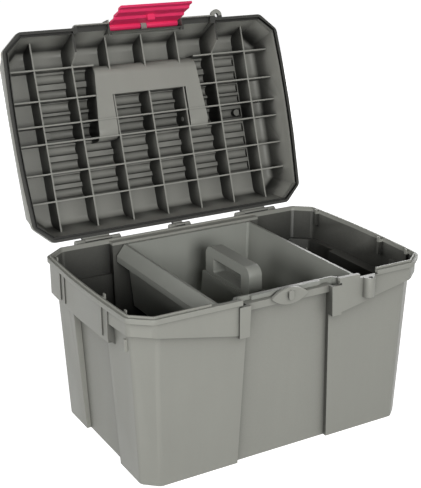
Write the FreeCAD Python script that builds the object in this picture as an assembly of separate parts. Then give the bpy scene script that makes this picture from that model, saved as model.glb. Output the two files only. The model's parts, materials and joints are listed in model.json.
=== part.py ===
"""Carry box for tools: tapered tub, ribbed hinged lid, lift-out tray, front latch and folding handle.

Millimetres. The origin is the centre of the underside, X runs along the front, Y to the back, Z up.
The lid, its latch and its handle are drawn closed and then turned to the open pose.
"""
import FreeCAD, Part
import os
from math import copysign, hypot, sqrt

Vector = FreeCAD.Vector
X_AXIS = Vector(1, 0, 0)
Y_AXIS = Vector(0, 1, 0)
Z_AXIS = Vector(0, 0, 1)

# Tub, outer sizes
rim_length = 400.0
rim_depth = 262.0
rim_height = 213.0
rim_cut_x = 24.0
rim_cut_y = 20.0
rim_bow = 4.0
foot_inset_x = 16.5
foot_inset_y = 13.0
base_cut_x = 18.0
base_cut_y = 16.0
wall = 3.0
floor_thickness = 3.0
rim_cap_height = 6.0
rim_overhang = 2.0
corner_radius = 10.0

# Band below the rim, which hangs lowest beside the front recess
band_step = 4.5
band_drop = 46.0
band_corner_drop = 22.0
band_front_reach = 65.0
band_strip_width = 15.0
gusset_thickness = 2.5
gusset_offset = 4.0
gusset_spacing = 14.0
gusset_shy = 0.5
gusset_face_drop = 40.0
gusset_foot_drop = 57.0

# Recessed panels in the four walls
recess_depth = 5.5
front_recess_top_half = 55.0
front_recess_flare = 9.0
back_recess_half = 106.0
side_recess_half = 49.0

# Latch catch on the tub
latch_gap_margin = 11.0
latch_wall_drop = 8.5
catch_ledge_height = 8.5
catch_ledge_proud = 5.0
catch_lens_width = 50.0
catch_lens_height = 20.0
catch_lens_drop = -0.6
catch_lens_proud = 2.5
catch_lens_thickness = 4.5
catch_boss_width = 7.0
catch_boss_height = 12.0
catch_boss_drop = 14.0
catch_boss_proud = 2.5

# Tongue on the tub rim, groove in the lid rim, and the pegs that centre the lid
tongue_inset = 3.4
tongue_width = 1.6
tongue_height = 2.4
groove_clearance = 0.7
groove_depth = 4.5
plain_front_half = 104.0
peg_width = 4.0
peg_depth = 1.7
peg_rise = 3.0
peg_drop = 20.0
peg_clearance = 0.6
peg_corner_offset = 15.0
peg_middle_offset = 42.0

# Lid, drawn closed
lid_overhang_x = 0.75
lid_overhang_y = 1.0
lid_cut_x = 24.0
lid_cut_y = 22.0
lid_gap = 1.4
lid_height = 55.0
lid_skirt_height = 7.0
lid_rim_width = 7.0
lid_shoulder = 2.0
lid_slope_x = 10.25
lid_slope_y = 17.5
lid_top_cut_x = 22.0
lid_top_cut_y = 20.0
lid_wall = 3.0
lid_edge_radius = 12.0
lid_open_angle = 107.7

# Ribs and corrugations inside the lid
rib_thickness = 2.0
rib_edge_depth = 22.0
long_rib_pitch = 52.0
long_rib_pairs = 3
cross_rib_places_y = (-86.4, -47.3, -15.7, 7.3, 45.3, 80.9)
tall_rib_number = 2
tall_rib_edge_depth = 1.5
tall_rib_length = 30.0
tall_rib_jog = 14.0
trough_outer_radius = 9.0
trough_wall = 2.5
trough_rise = 4.0
trough_spread = 0.25
barrel_cell_number = 2
stud_radius = 4.5
stud_height = 8.0
stud_offset = 12.5

# Carry handle and its pocket in the lid
handle_pivot_y = -4.0
handle_pivot_depth = 37.0
handle_length = 76.5
handle_half_width = 76.0
handle_splay = 7.5
handle_leg_width = 16.0
handle_grip_width = 24.5
handle_thickness = 22.0
handle_edge_radius = 4.5
handle_clearance = 2.5
handle_grip_gap = 1.5
handle_pocket_wall = 3.0
handle_pocket_radius = 11.0
handle_corner_radius = 11.0
handle_swing = 90.0
handle_pin_radius = 3.0
handle_pin_reach = 4.0
handle_pin_cover = 1.0
handle_barrel_radius = 6.0
boss_rib_proud = 0.8

# Latch and its housing on the lid
latch_half_width = 51.0
latch_side_gap = 1.5
latch_pivot_inset = 1.0
latch_pivot_rise = 12.0
latch_barrel_radius = 4.5
latch_pin_radius = 2.0
latch_length = 54.0
latch_thickness = 3.0
latch_root_length = 24.0
latch_band_length = 18.0
latch_step = 3.0
latch_hook_width = 10.0
latch_hook_reach = 4.2
latch_hook_height = 3.5
latch_hook_gap = 0.5
latch_flare = 8.0
housing_proud = 7.4
housing_wall = 2.0
housing_height = 27.0
housing_brow = 16.0
housing_pocket_depth = 22.0
housing_inset = 7.5
housing_lug_width = 8.0
housing_lug_gap = 0.5
latch_pin_seat = 1.2
housing_peg_radius = 2.2
housing_peg_height = 5.0
apron_reach = 4.0
apron_skin = 2.5
apron_roof = 2.0

# Hinge
hinge_reach = 7.7
hinge_drop = 2.0
hinge_barrel_radius = 5.0
hinge_web_rise = 2.0
hinge_web_out = 4.0
hinge_web_up = 3.0
hinge_pin_radius = 2.5
hinge_pin_fit = 0.05
hinge_side_offset = 50.0
hinge_side_length = 62.0
hinge_centre_half = 15.0
hinge_side_lug = 12.0
hinge_centre_lug = 8.0
hinge_gap = 0.5

# Padlock ears
ear_x = 108.0
ear_reach = 4.0
ear_radius = 8.0
ear_hole_radius = 2.75
ear_thickness = 5.0
ear_drop = 5.0
ear_height = 24.5
ear_boss_radius = 8.0
ear_boss_wall = 1.2
ear_notch_half = 13.0

# Tray
tray_top_drop = 3.0
tray_depth = 83.0
tray_half_length = 93.0
tray_back_gap = 3.5
tray_front_gap = 0.5
tray_front_jog = 7.0
tray_jog_gap = 4.0
tray_jog_slope = 5.0
tray_corner_radius = 6.0
tray_front_shy = 8.0
tray_taper = 6.0
tray_wall = 2.2
tray_flange_front = 4.0
tray_flange_back = 3.0
tray_seat_gap = 0.3
tray_skirt_reach = 12.0
tray_skirt_slope = 14.0
tray_skirt_lip = 8.0
tray_skirt_flat = 1.0
tray_skirt_root = 5.0
tray_shelf_half = 88.0
tray_shelf_height = 3.0
tray_shelf_reach = 3.5

# Tray handle island
island_half_width = 14.0
island_half_length = 60.0
island_height = 50.0
island_taper = 3.0
grip_half_width = 9.0
grip_half_length = 52.0
grip_height = 36.0
grip_corner = 12.0
grip_slot_half = 33.0
grip_slot_rise = 4.0
grip_slot_height = 19.0
grip_slot_corner = 2.5

# Levels and places that follow from the driving dimensions
base_length = rim_length - 2 * foot_inset_x
base_depth = rim_depth - 2 * foot_inset_y
wall_top_length = rim_length - 2 * (rim_overhang + band_step)
wall_top_depth = rim_depth - 2 * (rim_overhang + band_step)
band_length = rim_length - 2 * rim_overhang
band_depth = rim_depth - 2 * rim_overhang
cap_bottom = rim_height - rim_cap_height
band_bottom = rim_height - band_drop
band_corner_bottom = rim_height - band_corner_drop
latch_wall_top = rim_height - latch_wall_drop
front_recess_base_half = front_recess_top_half + front_recess_flare
latch_gap_half = front_recess_top_half + latch_gap_margin
lid_length = rim_length + 2 * lid_overhang_x
lid_depth = rim_depth + 2 * lid_overhang_y
lid_top_length = lid_length - 2 * lid_slope_x
lid_top_depth = lid_depth - 2 * lid_slope_y
lid_rim_z = rim_height + lid_gap
lid_top_z = lid_rim_z + lid_height
handle_pivot_z = lid_rim_z + handle_pivot_depth
latch_pivot_y = -lid_depth / 2 + latch_pivot_inset
latch_pivot_z = lid_rim_z + latch_pivot_rise
housing_front_y = -lid_depth / 2 - housing_proud
housing_back_y = -lid_depth / 2 + housing_inset
rib_edge_z = lid_rim_z + rib_edge_depth
hinge_y = rim_depth / 2 + hinge_reach
hinge_z = rim_height - hinge_drop
hinge_side_outer = rim_length / 2 - hinge_side_offset
hinge_side_inner = hinge_side_outer - hinge_side_length
ear_y = -rim_depth / 2 - ear_reach
ear_top = rim_height - ear_drop
tray_top = rim_height - tray_top_drop
tray_bottom = tray_top - tray_depth
tray_back_y = wall_top_depth / 2 - recess_depth - wall - tray_back_gap
tray_front_y = -(wall_top_depth / 2 - wall - tray_front_gap)
tray_jog_outer = latch_gap_half + tray_jog_gap
tray_jog_inner = tray_jog_outer - tray_jog_slope
tray_front_half = front_recess_top_half - tray_front_shy
island_top = tray_bottom + island_height
grip_top = island_top + grip_height
overlap = 1.0
far = 2 * (rim_length + rim_depth)


def box(x0, x1, y0, y1, z0, z1):
    return Part.makeBox(x1 - x0, y1 - y0, z1 - z0, Vector(x0, y0, z0))


def prism(points, direction):
    """Solid swept from a closed polygon of 3-D points along a vector."""
    corners = [Vector(*point) for point in points]
    face = Part.Face(Part.makePolygon(corners + corners[:1]))
    return face.extrude(direction)


def side_profile(points, x0, x1):
    """Polygon of (y, z) points swept along X."""
    return prism([(x0, y, z) for y, z in points], Vector(x1 - x0, 0, 0))


def front_profile(points, y0, y1):
    """Polygon of (x, z) points swept along Y."""
    return prism([(x, y0, z) for x, z in points], Vector(0, y1 - y0, 0))


def plan_profile(points, z0, z1):
    """Polygon of (x, y) points swept along Z."""
    return prism([(x, y, z0) for x, y in points], Vector(0, 0, z1 - z0))


def rod_x(radius, x0, x1, y, z):
    return Part.makeCylinder(radius, x1 - x0, Vector(x0, y, z), X_AXIS)


def mirrored_x(shape):
    return shape.mirror(Vector(0, 0, 0), X_AXIS)


def both_sides(shape):
    return [shape, mirrored_x(shape)]


def octagon(length, depth, cut_x, cut_y, z, inset=0.0, bow=0.0):
    """Rectangle with cut corners at height z, moved inwards by inset, its short sides bowed outwards."""
    shrink = 1 + inset * (hypot(1 / cut_x, 1 / cut_y) - 1 / cut_x - 1 / cut_y)
    half_x = length / 2 - inset
    half_y = depth / 2 - inset
    inner_x = half_x - cut_x * shrink
    inner_y = half_y - cut_y * shrink
    quarter = [(half_x, inner_y), (inner_x, half_y)]
    points = quarter + [(-x, y) for x, y in reversed(quarter)]
    points = points + [(-x, -y) for x, y in points]
    corners = [Vector(x, y, z) for x, y in points]
    edges = []
    for start, end in zip(corners, corners[1:] + corners[:1]):
        if bow and start.x == end.x:
            middle = Vector(start.x + copysign(bow, start.x), 0, z)
            edges.append(Part.Arc(start, middle, end).toShape())
        else:
            edges.append(Part.makeLine(start, end))
    return Part.Wire(edges)


def side_bow(y):
    """How far the bowed short side stands out at one place along it."""
    half = rim_depth / 2 - rim_cut_y
    return rim_bow * (1 - (y / half) ** 2)


def soften_uprights(shape, radius):
    """Round the edges that run the whole height of a body."""
    height = shape.BoundBox.ZLength
    uprights = [edge for edge in shape.Edges if edge.BoundBox.ZLength > height - overlap]
    return shape.makeFillet(radius, uprights)


def loft(lower, upper):
    return Part.makeLoft([lower, upper], True, True)


def lens(width, height, top, y0, y1):
    """Two equal arcs that meet in points at the sides, standing in the XZ plane."""
    middle = top - height / 2
    left = Vector(-width / 2, y0, middle)
    right = Vector(width / 2, y0, middle)
    upper = Part.Arc(left, Vector(0, y0, top), right).toShape()
    lower = Part.Arc(right, Vector(0, y0, top - height), left).toShape()
    return Part.Face(Part.Wire([upper, lower])).extrude(Vector(0, y1 - y0, 0))


def upright_slot(width, height, bottom, y0, y1):
    """Rounded upright bar, as wide as its end radius twice, swept along Y."""
    radius = width / 2
    low = bottom + radius
    high = bottom + height - radius
    bar = box(-radius, radius, y0, y1, low, high)
    ends = [Part.makeCylinder(radius, y1 - y0, Vector(0, y0, z), Y_AXIS) for z in (low, high)]
    return bar.fuse(ends).removeSplitter()


def tub_recess_front(inset):
    """Space in front of the recessed latch panel, wider at the foot than at the rim."""
    top = front_recess_top_half + inset
    foot = front_recess_base_half + inset
    width = front_profile([(-foot, 0), (foot, 0), (top, rim_height), (-top, rim_height)], -far, 0)
    return width.common(recess_depth_profile(base_depth, wall_top_depth, inset))


def recess_depth_profile(base_size, top_size, inset):
    """Space outside a sloping recessed panel that faces the front."""
    foot = -(base_size / 2 - recess_depth) + inset
    top = -(top_size / 2 - recess_depth) + inset
    return side_profile([(-far, 0), (foot, 0), (top, rim_height), (-far, rim_height)], -far, far)


def tub_recess_back(inset):
    half = back_recess_half + inset
    width = box(-half, half, -far, 0, 0, rim_height)
    panel = width.common(recess_depth_profile(base_depth, wall_top_depth, inset))
    panel.rotate(Vector(0, 0, 0), Z_AXIS, 180)
    return panel


def tub_recess_sides(inset):
    half = side_recess_half + inset
    width = box(-half, half, -far, 0, 0, rim_height)
    panel = width.common(recess_depth_profile(base_length, wall_top_length, inset))
    panels = []
    for turn in (90, -90):
        side = panel.copy()
        side.rotate(Vector(0, 0, 0), Z_AXIS, turn)
        panels.append(side)
    return panels


def band_slope(inset):
    """Spaces under the sloping lower edge of the band, left and right of the front recess."""
    corner = rim_length / 2 - rim_cut_x
    low = band_bottom + inset
    high = band_corner_bottom + inset
    edge = [(front_recess_top_half, 0), (front_recess_top_half, low), (corner, high), (far, high), (far, 0)]
    return both_sides(front_profile(edge, -far, band_front_reach - rim_depth / 2))


def tub_form(inset):
    """Solid body of the tub with every wall moved inwards by inset: tapered wall plus band."""
    foot = floor_thickness if inset else 0.0
    base = octagon(base_length, base_depth, base_cut_x, base_cut_y, foot, inset)
    top = octagon(wall_top_length, wall_top_depth, rim_cut_x, rim_cut_y, rim_height, inset, rim_bow)
    front = tub_recess_front(inset)
    back = tub_recess_back(inset)
    tapered = soften_uprights(loft(base, top), corner_radius - inset)
    tapered = tapered.cut([front, back] + tub_recess_sides(inset))
    ring = octagon(band_length, band_depth, rim_cut_x, rim_cut_y, band_bottom + inset, inset, rim_bow)
    band = Part.Face(ring).extrude(Vector(0, 0, rim_height - band_bottom - inset))
    band = soften_uprights(band, corner_radius - inset).cut(band_slope(inset) + [front, back])
    return tapered.fuse(band).removeSplitter()


def ring_prism(outer_inset, inner_inset, z0, z1, length, depth, cut_x, cut_y):
    """Octagonal ring between two insets from one outline."""
    outer = Part.Face(octagon(length, depth, cut_x, cut_y, z0, outer_inset, rim_bow))
    inner = Part.Face(octagon(length, depth, cut_x, cut_y, z0, inner_inset, rim_bow))
    return outer.cut(inner).extrude(Vector(0, 0, z1 - z0))


def tub_gussets():
    """Upright fins that carry the rim over the two short sides."""
    root = base_length / 2
    inner = side_recess_half + gusset_offset
    outer = inner + gusset_spacing
    fins = []
    for y in (inner, outer, -inner, -outer):
        face = rim_length / 2 - gusset_shy + side_bow(y)
        profile = [(root, rim_height - gusset_foot_drop), (face, rim_height - gusset_face_drop),
                   (face, cap_bottom), (root, cap_bottom)]
        fin = front_profile(profile, y - gusset_thickness / 2, y + gusset_thickness / 2)
        fins += both_sides(fin)
    return fins


def tub_catch():
    """Ledge, half-moon plate and oval boss that the latch hooks under."""
    panel_y = -(wall_top_depth / 2 - recess_depth)
    ledge_y = panel_y - catch_ledge_proud
    lens_y = ledge_y - catch_lens_proud
    inner_y = panel_y + wall / 2
    foot = latch_wall_top - catch_ledge_height
    half = front_recess_top_half + overlap
    ledge = box(-half, half, ledge_y, inner_y, foot, latch_wall_top)
    plate = lens(catch_lens_width, catch_lens_height, rim_height - catch_lens_drop, lens_y,
                 lens_y + catch_lens_thickness)
    boss = upright_slot(catch_boss_width, catch_boss_height, rim_height - catch_boss_drop,
                        lens_y - catch_boss_proud, lens_y)
    return [ledge, plate, boss]


def tub_band_strips():
    """Flat strips that frame the latch recess and stand level with the rim."""
    inner = front_recess_top_half
    strip = box(inner, inner + band_strip_width, -rim_depth / 2, -band_depth / 2 + wall / 2,
                band_bottom, latch_wall_top)
    return both_sides(strip)


def band_edge_z(x):
    """Height of the band's sloping lower edge on the front."""
    corner = rim_length / 2 - rim_cut_x
    share = (x - front_recess_top_half) / (corner - front_recess_top_half)
    return band_bottom + share * (band_corner_bottom - band_bottom)


def ear_pad():
    """Flat pad, level with the rim, that leads from the right strip to the padlock boss."""
    start = front_recess_top_half + band_strip_width - overlap
    outline = [(start, band_edge_z(start)), (ear_x, band_edge_z(ear_x)), (ear_x, cap_bottom), (start, cap_bottom)]
    return front_profile(outline, -rim_depth / 2, -band_depth / 2 + wall / 2)


def tub_pegs():
    """Short pegs on the inner walls of the short sides that centre the lid."""
    inner_x = band_length / 2 - wall
    tip_x = lid_length / 2 - lid_rim_width - peg_clearance
    corner_y = rim_depth / 2 - rim_cut_y - peg_corner_offset
    pegs = []
    for y in (-corner_y, -peg_middle_offset, corner_y):
        low, high = y - peg_width / 2, y + peg_width / 2
        root_x = inner_x + wall / 2 + side_bow(y)
        rib = box(tip_x - peg_depth, root_x, low, high, rim_height - peg_drop, rim_height)
        tip = box(tip_x - peg_depth, tip_x, low, high, rim_height, rim_height + peg_rise)
        pegs += both_sides(rib) + both_sides(tip)
    return pegs


def tub_ear():
    """Half-round boss on the band that carries the padlock hole in its top and is open below."""
    centre_y = -rim_depth / 2
    foot = ear_top - ear_height
    boss = Part.makeCylinder(ear_boss_radius, ear_height, Vector(ear_x, centre_y, foot))
    hollow = Part.makeCylinder(ear_boss_radius - ear_boss_wall, ear_height - ear_thickness,
                               Vector(ear_x, centre_y, foot))
    inside = box(-far, far, -band_depth / 2 + wall / 2, far, 0, far)
    behind = box(-far, far, -band_depth / 2, far, 0, far)
    return boss.cut([hollow.cut(behind), inside])


def ear_notch():
    """Dip in the rim over the padlock boss."""
    return box(ear_x - ear_notch_half, ear_x + ear_notch_half, -far, 0, ear_top, far)


def ear_hole(bottom, height):
    return Part.makeCylinder(ear_hole_radius, height, Vector(ear_x, ear_y, bottom))


def hinge_zones():
    """X ranges of the three hinges, with the width of the tub's lug at each end."""
    return {
        "left": (-hinge_side_outer, -hinge_side_inner, hinge_side_lug),
        "centre": (-hinge_centre_half, hinge_centre_half, hinge_centre_lug),
        "right": (hinge_side_inner, hinge_side_outer, hinge_side_lug),
    }


def hinge_bore(x0, x1):
    return rod_x(hinge_pin_radius + hinge_pin_fit, x0, x1, hinge_y, hinge_z)


def tub_hinge_lugs():
    """Two lugs at the ends of each hinge, drilled for the pin."""
    rim_y = rim_depth / 2
    web = [(rim_y - wall, cap_bottom), (hinge_y, hinge_z - hinge_barrel_radius),
           (hinge_y, hinge_z + hinge_web_rise), (rim_y - wall, rim_height)]
    lugs = []
    for x0, x1, width in hinge_zones().values():
        for start in (x0, x1 - width):
            barrel = rod_x(hinge_barrel_radius, start, start + width, hinge_y, hinge_z)
            lug = barrel.fuse(side_profile(web, start, start + width))
            lugs.append(lug.cut(hinge_bore(x0, x1)))
    return lugs


def tray_shelf():
    """Shelf on the back wall under the tray's rear flange."""
    inner_y = wall_top_depth / 2 - recess_depth - wall
    top = latch_wall_top
    edge = [(inner_y - tray_shelf_reach, top), (inner_y + wall / 2, top),
            (inner_y + wall / 2, top - tray_shelf_height - tray_shelf_reach),
            (inner_y - tray_shelf_reach, top - tray_shelf_height)]
    return side_profile(edge, -tray_shelf_half, tray_shelf_half)


def make_tub():
    outer = tub_form(0.0)
    cavity = tub_form(wall)
    cap = Part.Face(octagon(rim_length, rim_depth, rim_cut_x, rim_cut_y, cap_bottom, 0.0, rim_bow))
    cap = soften_uprights(cap.extrude(Vector(0, 0, rim_cap_height)), corner_radius)
    shell = outer.fuse([cap] + tub_gussets()).cut(cavity)
    gap = box(-latch_gap_half, latch_gap_half, -far, 0, latch_wall_top, far)
    front_space = tub_recess_front(0.0)
    strips = [strip.cut(front_space) for strip in tub_band_strips()]
    shell = shell.cut([gap, front_space]).fuse(strips + tub_catch())
    tongue = ring_prism(tongue_inset, tongue_inset + tongue_width, rim_height, rim_height + tongue_height,
                        rim_length, rim_depth, rim_cut_x, rim_cut_y)
    tongue = tongue.cut(box(-plain_front_half, plain_front_half, -far, 0, 0, far))
    shell = shell.fuse([tongue, tray_shelf()] + tub_pegs()).cut(ear_notch())
    shell = shell.fuse([ear_pad(), tub_ear()] + tub_hinge_lugs())
    return shell.cut(ear_hole(ear_top - ear_thickness - overlap, far)).removeSplitter()


def lid_outer_form():
    """Solid outline of the lid: straight skirt, sloping walls and rounded top edges."""
    skirt = Part.Face(octagon(lid_length, lid_depth, lid_cut_x, lid_cut_y, lid_rim_z, 0.0, rim_bow))
    skirt = soften_uprights(skirt.extrude(Vector(0, 0, lid_skirt_height)), corner_radius)
    return skirt.fuse(lid_dome(lid_shoulder, 0.0, lid_rim_z + lid_skirt_height, lid_edge_radius))


def lid_dome(foot_inset, top_inset, foot_z, radius):
    """Sloping walls up to a top panel whose edges are rounded."""
    foot = octagon(lid_length, lid_depth, lid_cut_x, lid_cut_y, foot_z, foot_inset, rim_bow)
    top = octagon(lid_top_length, lid_top_depth, lid_top_cut_x, lid_top_cut_y, lid_top_z - top_inset, top_inset)
    dome = loft(foot, top)
    top_edges = [edge for edge in dome.Edges if edge.BoundBox.ZMin > lid_top_z - top_inset - 0.01]
    return dome.makeFillet(radius, top_edges)


def lid_inner_form():
    """Hollow of the lid above its rim."""
    throat = Part.Face(octagon(lid_length, lid_depth, lid_cut_x, lid_cut_y, lid_rim_z, lid_rim_width, rim_bow))
    throat = throat.extrude(Vector(0, 0, lid_skirt_height))
    dome = lid_dome(lid_rim_width, lid_wall, lid_rim_z + lid_skirt_height, lid_edge_radius - lid_wall)
    return throat.fuse(dome)


def pocket_plan(margin):
    """U-shaped plan of the handle pocket, grown outwards by margin."""
    grow = handle_clearance + margin
    outer = handle_half_width + grow
    narrow = outer - handle_splay
    inner = handle_half_width - handle_leg_width - grow
    grip_front = handle_pivot_y - handle_length - grow
    rise = lid_height + trough_rise - handle_pivot_depth
    swing = sqrt((handle_length - handle_grip_width) ** 2 - rise ** 2)
    grip_back = handle_pivot_y - swing + handle_grip_gap + margin
    leg_back = handle_pivot_y + handle_thickness / 2 + grow
    half = [(narrow, grip_front), (outer, handle_pivot_y), (outer, leg_back), (inner, leg_back),
            (inner, grip_back)]
    return half + [(-x, y) for x, y in reversed(half)]


def boss_floor(margin):
    return handle_pivot_z - handle_thickness / 2 - handle_clearance - margin


def pocket_block(margin, radius):
    """Block over the pocket's plan with its front and rear lower edges rounded."""
    floor_z = boss_floor(margin)
    block = plan_profile(pocket_plan(margin), floor_z, lid_top_z + trough_rise + overlap)
    front_y = min(y for x, y in pocket_plan(margin))
    back_y = max(y for x, y in pocket_plan(margin))
    lower = [edge for edge in block.Edges
             if edge.BoundBox.ZMax < floor_z + 0.01
             and (abs(edge.BoundBox.YMax - front_y) < 0.01 or abs(edge.BoundBox.YMin - back_y) < 0.01)]
    return block.makeFillet(radius, lower)


def lid_ribs():
    """Rib grid under the top panel, before it is trimmed to the hollow."""
    half = rib_thickness / 2
    top = lid_top_z + trough_rise
    ribs = [box(-half, half, -far, far, rib_edge_z, top)]
    for number in range(1, long_rib_pairs + 1):
        x = number * long_rib_pitch
        ribs += both_sides(box(x - half, x + half, -far, far, rib_edge_z, top))
    tall_x = tall_rib_number * long_rib_pitch
    tall_z = lid_rim_z + tall_rib_edge_depth
    tall_end = -lid_depth / 2 + tall_rib_length
    jog = [(-far, tall_z), (tall_end, tall_z), (tall_end + tall_rib_jog, rib_edge_z + half),
           (-far, rib_edge_z + half)]
    ribs += both_sides(side_profile(jog, tall_x - half, tall_x + half))
    boss_half, boss_front = pocket_plan(handle_pocket_wall)[0]
    for y in cross_rib_places_y:
        rib = box(-far, far, y - half, y + half, rib_edge_z, lid_top_z)
        if abs(y - boss_front) < rib_thickness:
            rib = rib.cut(box(-boss_half, boss_half, -far, far, 0, far))
        ribs.append(rib)
    return ribs


def boss_rib():
    """Low rib across both legs of the pocket boss, in line with a cross rib."""
    half = rib_thickness / 2
    floor_z = boss_floor(handle_pocket_wall)
    y = cross_rib_places_y[barrel_cell_number]
    strip = box(-far, far, y - half, y + half, floor_z - boss_rib_proud, floor_z + overlap)
    return plan_profile(pocket_plan(handle_pocket_wall), 0, lid_top_z).common(strip)


def trough_rows():
    """Y places of the corrugations: two in each cell between cross ribs, one where the barrels sit."""
    rows = []
    cells = zip(cross_rib_places_y, cross_rib_places_y[1:])
    for number, (low, high) in enumerate(cells):
        middle = (low + high) / 2
        if number == barrel_cell_number:
            rows.append(middle)
        else:
            offset = (high - low) * trough_spread
            rows += [middle - offset, middle + offset]
    return rows


def corrugations(inset):
    """Half-round bars across the top panel, one for each row, made smaller by inset."""
    half = long_rib_pairs * long_rib_pitch - inset
    radius = trough_outer_radius - inset
    centre_z = lid_top_z + trough_rise - trough_outer_radius
    return [rod_x(radius, -half, half, y, centre_z) for y in trough_rows()]


def latch_housing():
    """Hood on the lid's front edge that shelters the latch pivot, with a peg behind each end."""
    half = latch_half_width + latch_side_gap + housing_wall
    inner_y = housing_back_y + housing_wall
    top = lid_rim_z + housing_height
    hood = side_profile([(housing_front_y, lid_rim_z), (housing_front_y, lid_rim_z + housing_brow),
                         (housing_front_y + housing_height - housing_brow, top), (inner_y, top),
                         (inner_y, lid_rim_z)], -half, half)
    peg_y = inner_y + housing_peg_radius / 2
    peg = Part.makeCylinder(housing_peg_radius, housing_peg_height, Vector(half - housing_wall, peg_y, lid_rim_z))
    return [hood] + both_sides(peg)


def lid_apron():
    """Lip that stands out along the plain stretch of the lid's front edge."""
    front = -lid_depth / 2
    narrow = plain_front_half - apron_reach
    return plan_profile([(-plain_front_half, front + overlap), (-narrow, front - apron_reach),
                         (narrow, front - apron_reach), (plain_front_half, front + overlap)],
                        lid_rim_z, lid_rim_z + lid_skirt_height)


def lid_front_relief():
    """Room behind the apron, where the front edge is a thin lip with a ledge behind it."""
    front = -lid_depth / 2
    skirt_top = lid_rim_z + lid_skirt_height
    lip = front - apron_reach + apron_skin
    foot = front + lid_shoulder + lid_wall
    inner_foot = front + lid_rim_width
    inner_top = -lid_top_depth / 2 + lid_wall
    middle_y = (inner_foot + inner_top) / 2
    middle_z = (skirt_top + lid_top_z - lid_wall) / 2
    roof = skirt_top - apron_roof
    profile = [(lip, lid_rim_z - overlap), (lip, roof), (foot, roof), (foot, skirt_top), (middle_y, middle_z),
               (middle_y, lid_rim_z - overlap)]
    half = plain_front_half - apron_reach - apron_skin
    return side_profile(profile, -half, half)


def lid_studs():
    """Round studs under the panel in the end cells of the row where the handle barrels sit."""
    low, high = cross_rib_places_y[barrel_cell_number:barrel_cell_number + 2]
    x = long_rib_pairs * long_rib_pitch - stud_offset
    stud = Part.makeCylinder(stud_radius, stud_height, Vector(x, (low + high) / 2, lid_top_z - stud_height))
    return both_sides(stud)


def latch_pocket():
    half = latch_half_width + latch_side_gap
    return box(-half, half, -far, housing_back_y, lid_rim_z - overlap, lid_rim_z + housing_pocket_depth)


def latch_lug():
    """Middle bearing of the latch pin, carried by the back of the housing."""
    half = housing_lug_width / 2
    barrel = rod_x(latch_barrel_radius, -half, half, latch_pivot_y, latch_pivot_z)
    web = box(-half, half, latch_pivot_y, housing_back_y + overlap, latch_pivot_z - latch_barrel_radius,
              latch_pivot_z + latch_barrel_radius)
    return barrel.fuse(web)


def latch_pin_half():
    return latch_half_width + latch_side_gap + latch_pin_seat


def lid_hinge_lugs():
    """One lug in the middle of each hinge, drilled for the pin."""
    back = lid_depth / 2
    skirt_top = lid_rim_z + lid_skirt_height
    root = back - lid_shoulder - overlap
    web = [(root, lid_rim_z), (back, lid_rim_z), (hinge_y, hinge_z),
           (hinge_y + hinge_web_out, hinge_z + hinge_web_up), (back, skirt_top), (root, skirt_top)]
    lugs = []
    for x0, x1, width in hinge_zones().values():
        start = x0 + width + hinge_gap
        end = x1 - width - hinge_gap
        barrel = rod_x(hinge_barrel_radius, start, end, hinge_y, hinge_z)
        lug = barrel.fuse(side_profile(web, start, end))
        lugs.append(lug.cut(hinge_bore(x0, x1)))
    return lugs


def lid_ear():
    disc = Part.makeCylinder(ear_radius, ear_thickness, Vector(ear_x, ear_y, lid_rim_z))
    neck = box(ear_x - ear_radius, ear_x + ear_radius, ear_y, -lid_depth / 2 + lid_shoulder, lid_rim_z,
               lid_rim_z + ear_thickness)
    return [disc, neck]


def handle_bores():
    """Bores for the handle's pivot pins through both walls of each pocket leg."""
    outer = handle_half_width + handle_clearance + handle_pocket_wall
    bore = rod_x(handle_pin_radius + hinge_pin_fit, handle_pin_inner() - overlap, outer - handle_pin_cover,
                 handle_pivot_y, handle_pivot_z)
    return both_sides(bore)


def handle_pin_inner():
    return handle_half_width - handle_leg_width - handle_clearance - handle_pocket_wall - handle_pin_reach


def handle_barrels():
    """Round bosses on the inner faces of the pocket legs that hold the pivot pins."""
    inner = handle_half_width - handle_leg_width - handle_clearance
    start = handle_pin_inner() + handle_pin_cover
    barrel = rod_x(handle_barrel_radius, start, inner, handle_pivot_y, handle_pivot_z)
    return both_sides(barrel)


def make_lid():
    hollow = lid_inner_form()
    outline = lid_outer_form().fuse(lid_apron())
    relief = lid_front_relief()
    boss = pocket_block(handle_pocket_wall, handle_pocket_radius + handle_pocket_wall)
    boss = boss.common(box(-far, far, -far, far, 0, lid_top_z))
    pocket = pocket_block(0.0, handle_pocket_radius)
    ridges = [bar.cut(boss) for bar in corrugations(0.0)]
    troughs = [bar.cut(boss) for bar in corrugations(trough_wall)]
    shell = outline.fuse(ridges).cut([hollow, relief] + troughs)
    rib_room = lid_rib_space().fuse([relief] + corrugations(trough_wall / 2))
    grid = lid_ribs()
    grid = grid[0].fuse(grid[1:]).common(rib_room).cut(boss)
    shell = shell.fuse([grid, boss, boss_rib()] + handle_barrels() + lid_studs())
    shell = shell.fuse(latch_housing() + lid_ear() + lid_hinge_lugs())
    groove = ring_prism(tongue_inset - groove_clearance, tongue_inset + tongue_width + groove_clearance,
                        lid_rim_z, lid_rim_z + groove_depth, rim_length, rim_depth, rim_cut_x, rim_cut_y)
    groove = groove.cut(box(-plain_front_half, plain_front_half, -far, 0, 0, far))
    shell = shell.cut([pocket, groove, latch_pocket(), ear_hole(lid_rim_z - overlap, far)] + handle_bores())
    shell = shell.fuse(latch_lug())
    pin_half = latch_pin_half()
    pin_bore = rod_x(latch_pin_radius + hinge_pin_fit, -pin_half, pin_half, latch_pivot_y, latch_pivot_z)
    return shell.cut(pin_bore).removeSplitter()


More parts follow.
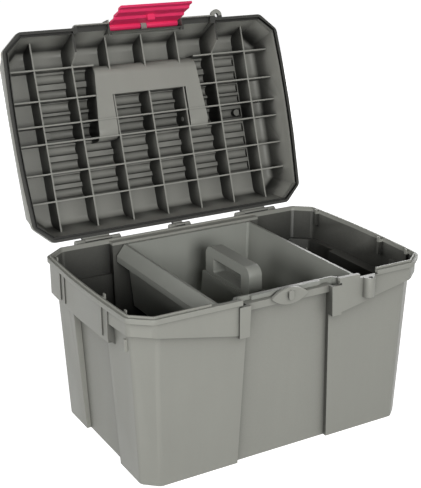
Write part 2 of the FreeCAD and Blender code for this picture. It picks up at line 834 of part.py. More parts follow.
def lid_rib_space():
    """Room for the rib grid: the hollow, grown a little into the walls so that the ribs join them."""
    root = lid_wall / 2
    throat = Part.Face(octagon(lid_length, lid_depth, lid_cut_x, lid_cut_y, lid_rim_z, lid_rim_width - root,
                               rim_bow))
    throat = throat.extrude(Vector(0, 0, lid_skirt_height))
    dome = lid_dome(lid_rim_width - root, lid_wall - root, lid_rim_z + lid_skirt_height,
                    lid_edge_radius - lid_wall + root)
    return throat.fuse(dome)


def make_latch():
    """Flap in three stepped bands with a barrel at the top and a hook inside."""
    top = latch_pivot_z
    front = latch_pivot_y - latch_barrel_radius
    step_one = top - latch_root_length
    step_two = step_one - latch_band_length
    foot = top - latch_length
    back = front + latch_thickness
    inner_one = step_one - (sqrt(2) - 1) * latch_thickness
    inner_two = step_two - (sqrt(2) - 1) * latch_thickness
    profile = [(front, top), (front, step_one), (front - latch_step, step_one - latch_step),
               (front - latch_step, step_two), (front - 2 * latch_step, step_two - latch_step),
               (front - 2 * latch_step, foot), (back - 2 * latch_step, foot),
               (back - 2 * latch_step, inner_two - latch_step), (back - latch_step, inner_two),
               (back - latch_step, inner_one - latch_step), (back, inner_one), (back, top)]
    half = latch_half_width
    flap = side_profile(profile, -half, half)
    flap = flap.fuse(rod_x(latch_barrel_radius, -half, half, latch_pivot_y, latch_pivot_z))
    hook_top = rim_height - catch_boss_drop - latch_hook_gap
    hook_root = front - latch_step + latch_thickness / 2
    hook_tip = back + latch_hook_reach
    hook = side_profile([(hook_root, hook_top), (hook_tip, hook_top), (hook_tip, hook_top - latch_hook_height / 2),
                         (hook_root, hook_top - latch_hook_height)], -latch_hook_width / 2, latch_hook_width / 2)
    flap = flap.fuse(hook)
    slot_half = housing_lug_width / 2 + housing_lug_gap
    room = latch_barrel_radius + housing_lug_gap
    slot = box(-slot_half, slot_half, latch_pivot_y - room, far, latch_pivot_z - room, latch_pivot_z + room)
    pin_bore = rod_x(latch_pin_radius + hinge_pin_fit, -half, half, latch_pivot_y, latch_pivot_z)
    return flap.cut([slot, pin_bore]).removeSplitter()


def make_handle():
    """U-shaped handle, drawn folded in its pocket, with the grip towards the front."""
    half = handle_half_width
    leg_inner = half - handle_leg_width
    low = handle_pivot_z - handle_thickness / 2
    high = handle_pivot_z + handle_thickness / 2
    grip_front = handle_pivot_y - handle_length
    narrow = half - handle_splay
    outer = plan_profile([(-narrow, grip_front), (narrow, grip_front), (half, handle_pivot_y),
                          (-half, handle_pivot_y)], low, high)
    upright = [edge for edge in outer.Edges if edge.Length < handle_thickness + 0.01
               and edge.BoundBox.YMax < grip_front + 0.01]
    outer = outer.makeFillet(handle_corner_radius, upright)
    opening = box(-leg_inner, leg_inner, grip_front + handle_grip_width, far, 0, far)
    bow = outer.cut(opening)
    long_edges = [edge for edge in bow.Edges if abs(edge.BoundBox.ZMax - edge.BoundBox.ZMin) < 0.01
                  and edge.BoundBox.YMax < handle_pivot_y - 0.01]
    bow = bow.makeFillet(handle_edge_radius, long_edges)
    eyes = [rod_x(handle_thickness / 2, leg_inner, half, handle_pivot_y, handle_pivot_z)]
    eyes.append(mirrored_x(eyes[0]))
    bow = bow.fuse(eyes)
    bore = rod_x(handle_pin_radius + hinge_pin_fit, -half, half, handle_pivot_y, handle_pivot_z)
    return bow.cut(bore).removeSplitter()


def tray_outline(inset, z):
    """Plan of the tray at one height, with the jog that clears the tub's recessed front."""
    half = tray_half_length - inset
    back = tray_back_y - inset
    front = tray_front_y + inset
    jog_y = tray_front_y + tray_front_jog + inset
    outer = tray_jog_outer + inset
    inner = tray_jog_inner + inset
    points = [(half, back), (half, front), (outer, front), (inner, jog_y), (-inner, jog_y),
              (-outer, front), (-half, front), (-half, back)]
    corners = [Vector(x, y, z) for x, y in points]
    return Part.makePolygon(corners + corners[:1])


def tray_flanges():
    """Front and rear flanges that rest on the tub, and the sloping skirts on the two sides."""
    under = latch_wall_top + tray_seat_gap
    front = tray_front_y + tray_front_jog
    flange_front = box(-tray_front_half, tray_front_half, front - tray_flange_front, front + tray_wall,
                       under, tray_top)
    flange_back = box(-tray_shelf_half, tray_shelf_half, tray_back_y - tray_wall,
                      tray_back_y + tray_flange_back, under, tray_top)
    edge = tray_half_length
    reach = edge + tray_skirt_reach
    knee = tray_top - tray_skirt_slope
    foot = knee - tray_skirt_lip
    profile = [(edge - tray_wall, tray_top), (edge + tray_skirt_flat, tray_top), (reach, knee), (reach, foot),
               (reach - tray_wall, foot), (reach - tray_wall, knee - tray_skirt_flat),
               (edge - tray_wall, tray_top - tray_skirt_root)]
    skirts = both_sides(front_profile(profile, tray_front_y, tray_back_y))
    return [flange_front, flange_back] + skirts


def rectangle(half_x, half_y, z):
    corners = [Vector(half_x, half_y, z), Vector(-half_x, half_y, z), Vector(-half_x, -half_y, z),
               Vector(half_x, -half_y, z)]
    return Part.makePolygon(corners + corners[:1])


def island(inset, top):
    foot = rectangle(island_half_width - inset, island_half_length - inset, tray_bottom)
    head = rectangle(island_half_width - island_taper - inset, island_half_length - island_taper - inset, top)
    return loft(foot, head)


def tray_grip():
    """Arched handle on the island with a slot for the fingers."""
    foot = island_top - overlap
    arch = box(-grip_half_width, grip_half_width, -grip_half_length, grip_half_length, foot, grip_top)
    crown = [edge for edge in arch.Edges if edge.BoundBox.ZMin > grip_top - 0.01
             and edge.BoundBox.XMax - edge.BoundBox.XMin > grip_half_width]
    arch = arch.makeFillet(grip_corner, crown)
    slot_bottom = island_top + grip_slot_rise
    slot = box(-far, far, -grip_slot_half, grip_slot_half, slot_bottom, slot_bottom + grip_slot_height)
    slot_edges = [edge for edge in slot.Edges if edge.BoundBox.XMax - edge.BoundBox.XMin > far]
    return arch.cut(slot.makeFillet(grip_slot_corner, slot_edges))


def make_tray():
    outer = loft(tray_outline(tray_taper, tray_bottom), tray_outline(0.0, tray_top))
    inner = loft(tray_outline(tray_taper + tray_wall, tray_bottom + tray_wall), tray_outline(tray_wall, tray_top))
    outer = soften_uprights(outer, tray_corner_radius / 2)
    inner = soften_uprights(inner, tray_corner_radius / 2)
    shell = outer.fuse(tray_flanges()).cut(inner)
    shell = shell.fuse([island(0.0, island_top), tray_grip()])
    hollow = island(tray_wall, island_top - tray_wall)
    return shell.cut(hollow).removeSplitter()


def hinge_pin(x0, x1):
    return rod_x(hinge_pin_radius, x0, x1, hinge_y, hinge_z)


def handle_pin():
    outer = handle_half_width + handle_clearance + handle_pocket_wall - handle_pin_cover
    return rod_x(handle_pin_radius, handle_pin_inner(), outer, handle_pivot_y, handle_pivot_z)


def latch_pin():
    half = latch_pin_half()
    return rod_x(latch_pin_radius, -half, half, latch_pivot_y, latch_pivot_z)


def opened(shape):
    """Turn a piece that is drawn on the closed lid to the open pose."""
    shape.rotate(Vector(0, hinge_y, hinge_z), X_AXIS, -lid_open_angle)
    return shape


def flared(shape):
    shape.rotate(Vector(0, latch_pivot_y, latch_pivot_z), X_AXIS, -latch_flare)
    return shape


def swung(shape):
    shape.rotate(Vector(0, handle_pivot_y, handle_pivot_z), X_AXIS, -handle_swing)
    return shape


def build():
    nodes = {
        "tub": make_tub(),
        "lid": opened(make_lid()),
        "latch": opened(flared(make_latch())),
        "latch_pin": opened(latch_pin()),
        "carry_handle": opened(swung(make_handle())),
        "handle_pin_right": opened(handle_pin()),
        "handle_pin_left": opened(mirrored_x(handle_pin())),
        "tray": make_tray(),
    }
    for name, (x0, x1, width) in hinge_zones().items():
        nodes["hinge_pin_" + name] = hinge_pin(x0, x1)
    return nodes


os.makedirs("parts", exist_ok=True)
for node, solid in build().items():
    solid.exportStep("parts/" + node + ".step")
    print(node, solid.ShapeType, len(solid.Solids), solid.isValid(), round(solid.Volume / 1000, 1), "cm3")
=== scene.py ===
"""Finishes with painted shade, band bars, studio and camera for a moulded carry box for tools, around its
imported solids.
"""

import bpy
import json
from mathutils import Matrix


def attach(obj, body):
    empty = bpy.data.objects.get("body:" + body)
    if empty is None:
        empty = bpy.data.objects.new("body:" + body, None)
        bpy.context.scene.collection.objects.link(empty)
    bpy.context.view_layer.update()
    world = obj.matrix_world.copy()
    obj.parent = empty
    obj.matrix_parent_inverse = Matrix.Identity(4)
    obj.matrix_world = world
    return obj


bl_info = {
    "name": "Moulded tool box",
    "version": (1, 0, 0),
    "blender": (4, 5, 0),
    "location": "View3D > Sidebar > Tool box",
    "description": "Dresses the packed tool box and sets up its studio view",
    "category": "Object",
}

import json
from functools import partial
from math import cos, radians, sin

import bmesh
import bpy
from mathutils import Matrix, Vector

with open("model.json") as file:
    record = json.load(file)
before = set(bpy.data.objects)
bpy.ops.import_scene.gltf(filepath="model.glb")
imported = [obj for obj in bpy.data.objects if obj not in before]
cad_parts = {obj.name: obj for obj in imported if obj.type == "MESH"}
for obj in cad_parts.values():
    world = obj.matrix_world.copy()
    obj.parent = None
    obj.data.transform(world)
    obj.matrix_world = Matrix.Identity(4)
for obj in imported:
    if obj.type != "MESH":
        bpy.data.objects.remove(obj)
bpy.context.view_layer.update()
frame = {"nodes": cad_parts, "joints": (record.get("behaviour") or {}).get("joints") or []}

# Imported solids, and the directions of the lid as it is stored, open
PIN_NODES = ("latch_pin", "handle_pin_left", "handle_pin_right", "hinge_pin_left", "hinge_pin_centre",
             "hinge_pin_right")
LID_HINGE = next(joint for joint in frame["joints"] if joint["name"] == "lid_hinge")
LID_ANGLE = -radians(LID_HINGE["range_deg"][0])
LID_UP = Vector((0.0, sin(LID_ANGLE), cos(LID_ANGLE)))
LID_FORWARD = Vector((0.0, -LID_UP.z, LID_UP.y))

# Moulded skin: broad clouds, upright flow marks and fine grain
GRAIN_GROUP = "moulded grain"
CLOUD_SCALE = 14.0
CLOUD_DETAIL = 3.0
CLOUD_ROUGHNESS = 0.55
FLOW_STRETCH = (60.0, 60.0, 7.0)
FLOW_SCALE = 1.0
FLOW_DETAIL = 2.0
FLOW_ROUGHNESS = 0.5
GRAIN_SCALE = 1500.0
GRAIN_DETAIL = 1.0
GRAIN_ROUGHNESS = 0.5
GRAIN_STRENGTH = 0.05
GRAIN_HEIGHT = 0.0004
NOISE_MEANS = 1.0
ROUGHNESS_SWING = 0.16
SHEEN = 0.28
SKIN_MOTTLE = 0.07
LATCH_MOTTLE = 0.08
PIN_MOTTLE = 0.1

# Painted shade of mating faces, corners and cells
RIM_GROUP = "mating rim"
PAINTED_CREVICE_SHADE_GROUP = "painted crevice shade"
OUTER_GROUP = "outer steps"
LOOKS_DOWN = -0.9
LOOKS_ALONG = 0.7
FLANK_POWER = 3.0
CREVICE_SAMPLES = 8
TRAY_SHARE = 0.5

# Moulded edges
WELD_REACH = 0.00001
FLAT_ANGLE = radians(1.5)
ROUND_ANGLE = radians(35)
ROUND_SEGMENTS = 2
ROUND_PROFILE = 0.5

# Studio
WHITE = (1.0, 1.0, 1.0, 1.0)
FLOOR_GREY = (0.55, 0.55, 0.55, 1.0)
FLOOR_REACH = 6.0
FILM_WIDTH = 36.0
LAMP_AIM = (0.0, 0.0, 0.15)
KEY_PLACE = (-0.55, -2.1, 0.75)
KEY_SIZE = (0.9, 0.7)
SIDE_PLACE = (-2.2, 0.0, 0.8)
SIDE_SIZE = (0.9, 0.9)
BACK_PLACE = (1.5, 2.1, 0.9)
BACK_SIZE = (1.4, 1.0)


class BoxFinish(bpy.types.PropertyGroup):
    """Colours, painted shade and surface of the moulded plastics, and the bars of the front band."""
    box_colour: bpy.props.FloatVectorProperty(
        name="Box grey", description="Tub, band bars and carry handle", subtype="COLOR", size=3,
        default=(0.29, 0.292, 0.262), min=0.0, max=1.0)
    lid_colour: bpy.props.FloatVectorProperty(
        name="Lid grey", description="Lid", subtype="COLOR", size=3,
        default=(0.312, 0.313, 0.282), min=0.0, max=1.0)
    tray_colour: bpy.props.FloatVectorProperty(
        name="Tray grey", description="Lift-out tray", subtype="COLOR", size=3,
        default=(0.28, 0.288, 0.26), min=0.0, max=1.0)
    latch_colour: bpy.props.FloatVectorProperty(
        name="Latch crimson", description="Front latch flap", subtype="COLOR", size=3,
        default=(0.84, 0.038, 0.145), min=0.0, max=1.0)
    pin_colour: bpy.props.FloatVectorProperty(
        name="Pin grey", description="Hinge, latch and handle pins", subtype="COLOR", size=3,
        default=(0.2, 0.2, 0.185), min=0.0, max=1.0)
    roughness: bpy.props.FloatProperty(
        name="Roughness", description="Mean roughness of the grey moulded skin", default=0.46,
        min=0.0, max=1.0, subtype="FACTOR")
    latch_roughness: bpy.props.FloatProperty(
        name="Latch roughness", description="Mean roughness of the latch flap", default=0.4,
        min=0.0, max=1.0, subtype="FACTOR")
    pin_roughness: bpy.props.FloatProperty(
        name="Pin roughness", description="Mean roughness of the pins", default=0.35,
        min=0.0, max=1.0, subtype="FACTOR")
    # These two values paint shade into the inside of the tub, from ambient occlusion.
    hollow: bpy.props.FloatProperty(
        name="Hollow shade", description="How strongly the inside of the tub darkens", default=1.65, min=0.0)
    hollow_reach: bpy.props.FloatProperty(
        name="Hollow reach", description="How far a wall of the tub darkens its neighbours", default=1.0,
        min=0.0, unit="LENGTH", subtype="DISTANCE")
    recess_foot: bpy.props.FloatProperty(
        name="Recess foot", description="Middle of the recessed side walls' thickness at the foot",
        default=0.1768, unit="LENGTH", subtype="DISTANCE")
    recess_draft: bpy.props.FloatProperty(
        name="Recess draft", description="Outward lean of the recessed side walls per unit of height",
        default=0.0467)
    band_line: bpy.props.FloatProperty(
        name="Band line", description="Height of the stepped band's lower edge at the sides",
        default=0.158, unit="LENGTH", subtype="DISTANCE")
    rim_line: bpy.props.FloatProperty(
        name="Rim line", description="Height where the tub's rim begins",
        default=0.2095, unit="LENGTH", subtype="DISTANCE")
    # These three values paint shade into the corners and cells of the lid and, at a share, of the tray, and
    # more onto the walls and rib flanks inside the lid.
    crevice: bpy.props.FloatProperty(
        name="Crevice shade", description="How strongly corners and cells of the lid darken, the tray's less",
        default=0.5, min=0.0)
    crevice_reach: bpy.props.FloatProperty(
        name="Crevice reach", description="How far a wall of the lid or tray darkens its neighbours",
        default=0.03, min=0.0, unit="LENGTH", subtype="DISTANCE")
    flank_painted_shade: bpy.props.FloatProperty(
        name="Flank shade", description="How strongly the walls and rib flanks inside the lid darken further",
        default=2.4, min=0.0)
    # This value paints shade onto the lid's mating face and groove floor.
    painted_rim_shade: bpy.props.FloatProperty(
        name="Rim shade", description="How much of the grey is left on the lid's mating face with painted shade",
        default=0.15, min=0.0, max=1.0, subtype="FACTOR")
    rim_height: bpy.props.FloatProperty(
        name="Rim height", description="Floor of the lid's groove above the hinge line, with a little room",
        default=0.0090, unit="LENGTH", subtype="DISTANCE")
    rim_length: bpy.props.FloatProperty(
        name="Rim length", description="Hinge line to the front edge of the lid's mating face",
        default=0.2732, unit="LENGTH", subtype="DISTANCE")
    bar_place: bpy.props.FloatVectorProperty(
        name="Bar place", description="Middle of the short upright bar at the right end of the front band",
        subtype="TRANSLATION", size=3, default=(0.1925, -0.0945, 0.174))
    bar_size: bpy.props.FloatVectorProperty(
        name="Bar size", description="Thickness, width and height of the bar", subtype="XYZ", size=3,
        default=(0.005, 0.004, 0.015))
    edge_radius: bpy.props.FloatProperty(
        name="Edge radius", description="Round-over along the moulded edges",
        default=0.0006, min=0.0, unit="LENGTH", subtype="DISTANCE")


class BoxStudio(bpy.types.PropertyGroup):
    """Camera and light."""
    target: bpy.props.FloatVectorProperty(
        name="Target", description="Point that the camera looks at", subtype="TRANSLATION", size=3,
        default=(-0.01562, 0.00914, 0.18003))
    azimuth: bpy.props.FloatProperty(
        name="Azimuth", description="Camera turn about the upright axis", subtype="ANGLE",
        default=radians(-30.35))
    elevation: bpy.props.FloatProperty(
        name="Elevation", description="Camera height above the horizon", subtype="ANGLE",
        default=radians(21.22))
    distance: bpy.props.FloatProperty(
        name="Distance", description="Camera to target", default=1.30369, min=0.1, unit="LENGTH")
    lens: bpy.props.FloatProperty(
        name="Lens", description="Focal length on a 36 mm film", default=77.51, min=1.0, unit="CAMERA")
    shift_x: bpy.props.FloatProperty(
        name="Shift X", description="Sideways shift of the frame", default=-0.0162)
    shift_y: bpy.props.FloatProperty(
        name="Shift Y", description="Upright shift of the frame", default=0.0743)
    key_power: bpy.props.FloatProperty(
        name="Key power", description="Soft lamp at the front", default=37.5, min=0.0, unit="POWER")
    side_power: bpy.props.FloatProperty(
        name="Side power", description="Soft lamp at the left", default=17.0, min=0.0, unit="POWER")
    back_power: bpy.props.FloatProperty(
        name="Back power", description="Soft lamp behind, for views from the back", default=30.0, min=0.0,
        unit="POWER")
    ambient: bpy.props.FloatProperty(
        name="Ambient", description="Even light of the room", default=0.06, min=0.0)


# Shader nodes

def feed(tree, socket, value):
    """Set an input to a fixed value, or link it to another node's output."""
    if isinstance(value, bpy.types.NodeSocket):
        tree.links.new(value, socket)
    else:
        socket.default_value = value


def add_node(tree, kind, **inputs):
    """Shader node with the given inputs, named as the sockets are."""
    node = tree.nodes.new(kind)
    for name, value in inputs.items():
        feed(tree, node.inputs[name], value)
    return node


def calculate(tree, operation, *values):
    """Result of a math node on numbers and other nodes' outputs."""
    node = tree.nodes.new("ShaderNodeMath")
    node.operation = operation
    for socket, value in zip(node.inputs, values):
        feed(tree, socket, value)
    return node.outputs[0]


def vector_pair(tree, operation, first, second, result):
    """Result of a vector math node on two other nodes' outputs."""
    node = tree.nodes.new("ShaderNodeVectorMath")
    node.operation = operation
    feed(tree, node.inputs[0], first)
    feed(tree, node.inputs[1], second)
    return node.outputs[result]


def scaled(tree, colour, amount):
    """A colour times an amount."""
    node = tree.nodes.new("ShaderNodeVectorMath")
    node.operation = "SCALE"
    feed(tree, node.inputs[0], colour)
    feed(tree, node.inputs["Scale"], amount)
    return node.outputs["Vector"]


def noise(tree, place, scale, detail, roughness):
    """Soft noise over a place."""
    node = add_node(tree, "ShaderNodeTexNoise", Vector=place, Scale=scale, Detail=detail, Roughness=roughness)
    return node.outputs["Fac"]


def new_effect(name, inputs, outputs):
    """Empty node group with the named sockets, with what it takes in and what it gives out."""
    group = bpy.data.node_groups.new(name, "ShaderNodeTree")
    for way, sockets in (("INPUT", inputs), ("OUTPUT", outputs)):
        for label, kind in sockets.items():
            group.interface.new_socket(label, in_out=way, socket_type="NodeSocket" + kind)
    taken = group.nodes.new("NodeGroupInput").outputs
    given = group.nodes.new("NodeGroupOutput").inputs
    return group, taken, given


def place_effect(tree, name, build, **inputs):
    """Outputs of a shared effect in a material, its group built the first time it is asked for."""
    node = tree.nodes.new("ShaderNodeGroup")
    node.node_tree = bpy.data.node_groups.get(name) or build(name)
    for label, value in inputs.items():
        feed(tree, node.inputs[label], value)
    return node.outputs


# Shared effects

def grain_group(name):
    """Mottled colour, varying roughness and fine grain height of a moulded skin."""
    group, taken, given = new_effect(
        name, {"Colour": "Color", "Mottle": "Float", "Roughness": "Float"},
        {"Colour": "Color", "Roughness": "Float", "Height": "Float"})
    place = group.nodes.new("ShaderNodeTexCoord").outputs["Object"]
    stretched = add_node(group, "ShaderNodeMapping", Vector=place, Scale=FLOW_STRETCH).outputs["Vector"]
    cloud = noise(group, place, CLOUD_SCALE, CLOUD_DETAIL, CLOUD_ROUGHNESS)
    flow = noise(group, stretched, FLOW_SCALE, FLOW_DETAIL, FLOW_ROUGHNESS)
    grain = noise(group, place, GRAIN_SCALE, GRAIN_DETAIL, GRAIN_ROUGHNESS)
    swing = calculate(group, "SUBTRACT", calculate(group, "ADD", cloud, flow), NOISE_MEANS)
    strength = calculate(group, "MULTIPLY_ADD", swing, taken["Mottle"], 1.0)
    rough = calculate(group, "MULTIPLY_ADD", swing, ROUGHNESS_SWING, taken["Roughness"])
    feed(group, given["Colour"], scaled(group, taken["Colour"], strength))
    feed(group, given["Roughness"], rough)
    feed(group, given["Height"], grain)
    return group


def rim_group(name):
    """1 on faces that look down, under a height and short of a length from a hinge, 0 elsewhere."""
    group, taken, given = new_effect(
        name, {"Hinge": "Vector", "Up": "Vector", "Along": "Vector", "Height": "Float", "Length": "Float"},
        {"Rim": "Float"})
    place = group.nodes.new("ShaderNodeTexCoord").outputs
    offset = vector_pair(group, "SUBTRACT", place["Object"], taken["Hinge"], "Vector")
    rise = vector_pair(group, "DOT_PRODUCT", offset, taken["Up"], "Value")
    run = vector_pair(group, "DOT_PRODUCT", offset, taken["Along"], "Value")
    turn = vector_pair(group, "DOT_PRODUCT", place["Normal"], taken["Up"], "Value")
    low = calculate(group, "LESS_THAN", rise, taken["Height"])
    short = calculate(group, "LESS_THAN", run, taken["Length"])
    down = calculate(group, "LESS_THAN", turn, LOOKS_DOWN)
    rim = calculate(group, "MULTIPLY", calculate(group, "MULTIPLY", low, short), down)
    feed(group, given["Rim"], rim)
    return group


def painted_crevice_shade_group(name):
    """Colour with painted shade: darkened in corners and cells by ambient occlusion, and further on walls
    that stand across the facing direction.
    """
    group, taken, given = new_effect(
        name, {"Colour": "Color", "Reach": "Float", "Strength": "Float", "Flank": "Float",
               "Facing": "Vector"},
        {"Colour": "Color"})
    normal = group.nodes.new("ShaderNodeTexCoord").outputs["Normal"]
    facing = vector_pair(group, "DOT_PRODUCT", normal, taken["Facing"], "Value")
    across = calculate(group, "SUBTRACT", 1.0, calculate(group, "MULTIPLY", facing, facing))
    steep = calculate(group, "POWER", across, FLANK_POWER)
    power = calculate(group, "MULTIPLY_ADD", steep, taken["Flank"], taken["Strength"])
    openness = add_node(group, "ShaderNodeAmbientOcclusion", Distance=taken["Reach"])
    openness.samples = CREVICE_SAMPLES
    openness.only_local = True
    left = calculate(group, "POWER", openness.outputs["AO"], power)
    feed(group, given["Colour"], scaled(group, taken["Colour"], left))
    return group


def outer_group(name):
    """0 on the end walls of the tub's side recesses and above its rim line, 1 elsewhere: where the painted
    hollow shade is kept.
    """
    group, taken, given = new_effect(
        name, {"Foot": "Float", "Draft": "Float", "Band": "Float", "Rim": "Float"}, {"Kept": "Float"})
    place = group.nodes.new("ShaderNodeTexCoord").outputs
    point = add_node(group, "ShaderNodeSeparateXYZ", Vector=place["Object"]).outputs
    normal = add_node(group, "ShaderNodeSeparateXYZ", Vector=place["Normal"]).outputs
    wall = calculate(group, "MULTIPLY_ADD", point["Z"], taken["Draft"], taken["Foot"])
    beyond = calculate(group, "GREATER_THAN", calculate(group, "ABSOLUTE", point["X"]), wall)
    ends = calculate(group, "GREATER_THAN", calculate(group, "ABSOLUTE", normal["Y"]), LOOKS_ALONG)
    under = calculate(group, "LESS_THAN", point["Z"], taken["Band"])
    above = calculate(group, "GREATER_THAN", point["Z"], taken["Rim"])
    recess = calculate(group, "MULTIPLY", calculate(group, "MULTIPLY", beyond, ends), under)
    outer = calculate(group, "MAXIMUM", recess, above)
    feed(group, given["Kept"], calculate(group, "SUBTRACT", 1.0, outer))
    return group


# Painted shade of the mouldings

def paint_crevice_shade(tree, colour, reach, strength, flank_painted_shade=0.0):
    """Paint shade into a colour where walls stand close, and further on flanks inside the lid."""
    shade = place_effect(tree, PAINTED_CREVICE_SHADE_GROUP, painted_crevice_shade_group, Colour=colour, Reach=reach, Strength=strength,
                         Flank=flank_painted_shade, Facing=LID_UP)
    return shade["Colour"]


def paint_tub_hollow_shade(finish, tree, colour):
    """Paint shade into the hollow of the tub, but not onto its outer steps."""
    steps = place_effect(tree, OUTER_GROUP, outer_group, Foot=finish.recess_foot, Draft=finish.recess_draft,
                         Band=finish.band_line, Rim=finish.rim_line)
    strength = calculate(tree, "MULTIPLY", steps["Kept"], finish.hollow)
    return paint_crevice_shade(tree, colour, finish.hollow_reach, strength)


def paint_lid_shade(finish, tree, colour):
    """Paint shade onto the lid's mating face and groove floor, and then into its corners, cells and flanks.
    """
    face = place_effect(tree, RIM_GROUP, rim_group, Hinge=LID_HINGE["pos_m"], Up=LID_UP, Along=LID_FORWARD,
                        Height=finish.rim_height, Length=finish.rim_length)
    left = calculate(tree, "MULTIPLY_ADD", face["Rim"], finish.painted_rim_shade - 1.0, 1.0)
    with_rim_painted_shade = scaled(tree, colour, left)
    return paint_crevice_shade(tree, with_rim_painted_shade, finish.crevice_reach, finish.crevice, finish.flank_painted_shade)


def paint_tray_shade(finish, tree, colour):
    """Paint a little shade into the corners of the tray."""
    return paint_crevice_shade(tree, colour, finish.crevice_reach, finish.crevice * TRAY_SHARE)


def moulded_plastic(name, colour, roughness, mottle=SKIN_MOTTLE, shade=None):
    """Matt plastic with moulding flow, fine grain and an even sheen, darkened by painted shade if a shade is
    given.
    """
    material = bpy.data.materials.new(name)
    material.use_nodes = True
    tree = material.node_tree
    skin = place_effect(tree, GRAIN_GROUP, grain_group, Colour=(*colour, 1.0), Mottle=mottle,
                        Roughness=roughness)
    bump = add_node(tree, "ShaderNodeBump", Strength=GRAIN_STRENGTH, Distance=GRAIN_HEIGHT,
                    Height=skin["Height"])
    base = skin["Colour"]
    if shade:
        base = shade(tree, base)
    shader = tree.nodes["Principled BSDF"]
    feed(tree, shader.inputs["Base Color"], base)
    feed(tree, shader.inputs["Roughness"], skin["Roughness"])
    feed(tree, shader.inputs["Specular IOR Level"], SHEEN)
    feed(tree, shader.inputs["Normal"], bump.outputs["Normal"])
    return material


# Pieces

def soften_edges(piece, radius):
    """Rounded moulded edges, as live modifiers over the unchanged solid."""
    weld = piece.modifiers.new("weld", "WELD")
    weld.merge_threshold = WELD_REACH
    flat = piece.modifiers.new("flat faces", "DECIMATE")
    flat.decimate_type = "DISSOLVE"
    flat.angle_limit = FLAT_ANGLE
    round_over = piece.modifiers.new("round over", "BEVEL")
    round_over.width = radius
    round_over.segments = ROUND_SEGMENTS
    round_over.limit_method = "ANGLE"
    round_over.angle_limit = ROUND_ANGLE
    round_over.profile = ROUND_PROFILE
    round_over.use_clamp_overlap = True


def dress(node, material, radius=0.0):
    """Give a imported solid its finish, and rounded edges if a radius is given."""
    piece = frame["nodes"][node]
    if piece.material_slots:
        for slot in piece.material_slots:
            slot.material = material
    else:
        piece.data.materials.append(material)
    if radius:
        soften_edges(piece, radius)


class TOOLBOX_OT_tub(bpy.types.Operator):
    """Finish the tub in box grey"""
    bl_idname = "toolbox.tub"
    bl_label = "Tub"

    def execute(self, context):
        finish = context.scene.box_finish
        material = moulded_plastic("box grey", finish.box_colour, finish.roughness,
                                   shade=partial(paint_tub_hollow_shade, finish))
        dress("tub", material, finish.edge_radius)
        return {"FINISHED"}


class TOOLBOX_OT_bars(bpy.types.Operator):
    """Add the short upright bars under the ends of the front band"""
    bl_idname = "toolbox.bars"
    bl_label = "Band bars"

    def execute(self, context):
        finish = context.scene.box_finish
        across, along, up = finish.bar_place
        size = Matrix.Diagonal((*finish.bar_size, 1.0))
        mesh = bpy.data.meshes.new("band_bars")
        solid = bmesh.new()
        for side in (-1, 1):
            place = Matrix.Translation((side * across, along, up))
            bmesh.ops.create_cube(solid, size=1.0, matrix=place @ size)
        bmesh.ops.bevel(solid, geom=solid.edges[:], offset=finish.edge_radius, affect="EDGES",
                        segments=ROUND_SEGMENTS, profile=ROUND_PROFILE, material=-1)
        solid.to_mesh(mesh)
        solid.free()
        bars = bpy.data.objects.new("band_bars", mesh)
        context.scene.collection.objects.link(bars)
        mesh.materials.append(moulded_plastic("bar grey", finish.box_colour, finish.roughness))
        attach(bars, "tub")
        return {"FINISHED"}


class TOOLBOX_OT_lid(bpy.types.Operator):
    """Finish the lid"""
    bl_idname = "toolbox.lid"
    bl_label = "Lid"

    def execute(self, context):
        finish = context.scene.box_finish
        material = moulded_plastic("lid grey", finish.lid_colour, finish.roughness,
                                   shade=partial(paint_lid_shade, finish))
        dress("lid", material, finish.edge_radius)
        return {"FINISHED"}


class TOOLBOX_OT_handle(bpy.types.Operator):
    """Finish the folding carry handle"""
    bl_idname = "toolbox.handle"
    bl_label = "Carry handle"

    def execute(self, context):
        finish = context.scene.box_finish
        dress("carry_handle", moulded_plastic("handle grey", finish.box_colour, finish.roughness))
        return {"FINISHED"}


class TOOLBOX_OT_tray(bpy.types.Operator):
    """Finish the lift-out tray"""
    bl_idname = "toolbox.tray"
    bl_label = "Tray"

    def execute(self, context):
        finish = context.scene.box_finish
        material = moulded_plastic("tray grey", finish.tray_colour, finish.roughness,
                                   shade=partial(paint_tray_shade, finish))
        dress("tray", material, finish.edge_radius)
        return {"FINISHED"}


class TOOLBOX_OT_latch(bpy.types.Operator):
    """Finish the latch flap in crimson"""
    bl_idname = "toolbox.latch"
    bl_label = "Latch"

    def execute(self, context):
        finish = context.scene.box_finish
        material = moulded_plastic("latch crimson", finish.latch_colour, finish.latch_roughness, LATCH_MOTTLE)
        dress("latch", material, finish.edge_radius)
        return {"FINISHED"}


class TOOLBOX_OT_pins(bpy.types.Operator):
    """Finish every pin"""
    bl_idname = "toolbox.pins"
    bl_label = "Pins"

    def execute(self, context):
        finish = context.scene.box_finish
        material = moulded_plastic("pin grey", finish.pin_colour, finish.pin_roughness, PIN_MOTTLE)
        for node in PIN_NODES:
            dress(node, material)
        return {"FINISHED"}


# Studio

def background_rays(tree):
    """1 for the rays that see the pale background: camera, glossy and transmission."""
    path = tree.nodes.new("ShaderNodeLightPath").outputs
    seen = calculate(tree, "MAXIMUM", path["Is Camera Ray"], path["Is Glossy Ray"])
    return calculate(tree, "MAXIMUM", seen, path["Is Transmission Ray"])


def studio_world(ambient):
    """White to the camera, soft even light on the object."""
    world = bpy.data.worlds.new("studio")
    world.use_nodes = True
    tree = world.node_tree
    tree.nodes.clear()
    seen = add_node(tree, "ShaderNodeBackground", Color=WHITE, Strength=1.0)
    room = add_node(tree, "ShaderNodeBackground", Color=WHITE, Strength=ambient)
    mix = tree.nodes.new("ShaderNodeMixShader")
    feed(tree, mix.inputs[0], background_rays(tree))
    feed(tree, mix.inputs[1], room.outputs[0])
    feed(tree, mix.inputs[2], seen.outputs[0])
    add_node(tree, "ShaderNodeOutputWorld", Surface=mix.outputs[0])
    return world


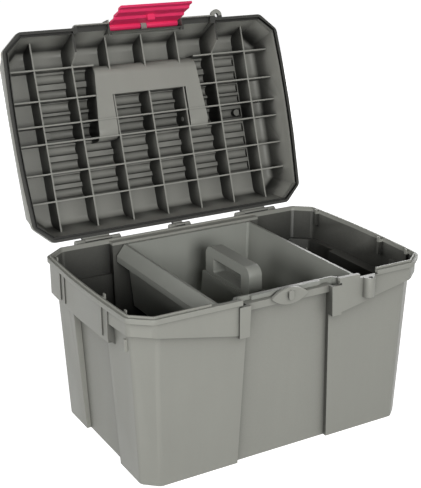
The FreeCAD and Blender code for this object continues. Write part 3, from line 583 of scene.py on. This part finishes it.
def studio_floor():
    """Pale floor that keeps the shadow."""
    mesh = bpy.data.meshes.new("studio_floor")
    sheet = bmesh.new()
    bmesh.ops.create_grid(sheet, x_segments=1, y_segments=1, size=FLOOR_REACH)
    sheet.to_mesh(mesh)
    sheet.free()
    floor = bpy.data.objects.new("studio_floor", mesh)
    bpy.context.scene.collection.objects.link(floor)
    material = bpy.data.materials.new("studio floor")
    material.use_nodes = True
    tree = material.node_tree
    tree.nodes.clear()
    matt = add_node(tree, "ShaderNodeBsdfDiffuse", Color=FLOOR_GREY)
    glow = add_node(tree, "ShaderNodeEmission", Color=WHITE, Strength=background_rays(tree))
    both = tree.nodes.new("ShaderNodeAddShader")
    feed(tree, both.inputs[0], matt.outputs[0])
    feed(tree, both.inputs[1], glow.outputs[0])
    add_node(tree, "ShaderNodeOutputMaterial", Surface=both.outputs[0])
    mesh.materials.append(material)


def soft_lamp(name, place, size, power):
    """Area lamp at a place, turned to the middle of the box."""
    data = bpy.data.lights.new(name, "AREA")
    data.shape = "RECTANGLE"
    data.size, data.size_y = size
    data.energy = power
    lamp = bpy.data.objects.new(name, data)
    bpy.context.scene.collection.objects.link(lamp)
    lamp.location = place
    lamp.rotation_euler = (Vector(place) - Vector(LAMP_AIM)).to_track_quat("Z", "Y").to_euler()


def studio_camera(studio):
    """Camera at the photograph's angle."""
    data = bpy.data.cameras.new("studio_camera")
    data.sensor_fit = "AUTO"
    data.sensor_width = FILM_WIDTH
    data.lens = studio.lens
    data.shift_x = studio.shift_x
    data.shift_y = studio.shift_y
    camera = bpy.data.objects.new("studio_camera", data)
    bpy.context.scene.collection.objects.link(camera)
    level = cos(studio.elevation)
    back = Vector((sin(studio.azimuth) * level, -cos(studio.azimuth) * level, sin(studio.elevation)))
    camera.location = Vector(studio.target) + back * studio.distance
    camera.rotation_euler = back.to_track_quat("Z", "Y").to_euler()
    bpy.context.scene.camera = camera


class TOOLBOX_OT_stage(bpy.types.Operator):
    """Set up floor, room light, lamps and camera"""
    bl_idname = "toolbox.stage"
    bl_label = "Studio"

    def execute(self, context):
        studio = context.scene.box_studio
        context.scene.view_settings.view_transform = "Standard"
        context.scene.world = studio_world(studio.ambient)
        studio_floor()
        soft_lamp("key lamp", KEY_PLACE, KEY_SIZE, studio.key_power)
        soft_lamp("side lamp", SIDE_PLACE, SIDE_SIZE, studio.side_power)
        soft_lamp("back lamp", BACK_PLACE, BACK_SIZE, studio.back_power)
        studio_camera(studio)
        return {"FINISHED"}


class TOOLBOX_PT_panel(bpy.types.Panel):
    """Tool box operators"""
    bl_idname = "TOOLBOX_PT_panel"
    bl_label = "Tool box"
    bl_space_type = "VIEW_3D"
    bl_region_type = "UI"
    bl_category = "Tool box"

    def draw(self, context):
        for operator in OPERATORS:
            self.layout.operator(operator.bl_idname)


OPERATORS = (TOOLBOX_OT_tub, TOOLBOX_OT_bars, TOOLBOX_OT_lid, TOOLBOX_OT_handle, TOOLBOX_OT_tray,
             TOOLBOX_OT_latch, TOOLBOX_OT_pins, TOOLBOX_OT_stage)
CLASSES = (BoxFinish, BoxStudio) + OPERATORS + (TOOLBOX_PT_panel,)


def register():
    for item in CLASSES:
        bpy.utils.register_class(item)
    bpy.types.Scene.box_finish = bpy.props.PointerProperty(type=BoxFinish)
    bpy.types.Scene.box_studio = bpy.props.PointerProperty(type=BoxStudio)


def unregister():
    del bpy.types.Scene.box_studio
    del bpy.types.Scene.box_finish
    for item in reversed(CLASSES):
        bpy.utils.unregister_class(item)


def main():
    register()
    bpy.ops.toolbox.tub()
    bpy.ops.toolbox.bars()
    bpy.ops.toolbox.lid()
    bpy.ops.toolbox.handle()
    bpy.ops.toolbox.tray()
    bpy.ops.toolbox.latch()
    bpy.ops.toolbox.pins()
    bpy.ops.toolbox.stage()


if __name__ == "__main__":
    main()
